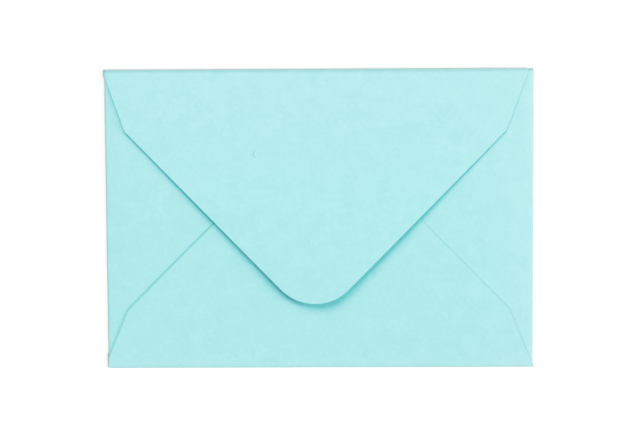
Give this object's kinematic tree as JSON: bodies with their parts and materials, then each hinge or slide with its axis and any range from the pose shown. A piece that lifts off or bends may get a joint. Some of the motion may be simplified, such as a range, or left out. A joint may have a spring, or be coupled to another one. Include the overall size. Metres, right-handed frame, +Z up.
{
  "type": "paper envelope",
  "caption": "Flat paper envelope of one folded sheet, with a deep round-tipped top flap folded down and unsealed over a bottom flap stuck to two side flaps",
  "frame": {"origin": "middle of the flat front panel's underside, which lies on the ground at z = 0", "axes": "+X along the length between the two side folds, +Y towards the fold of the top flap, +Z up through the flaps"},
  "size_m": [0.1627, 0.114, 0.0027],
  "materials": {
    "paper": "matte"
  },
  "bodies": {
    "root": {"envelope_sheet": "paper"}
  },
  "joints": []
}
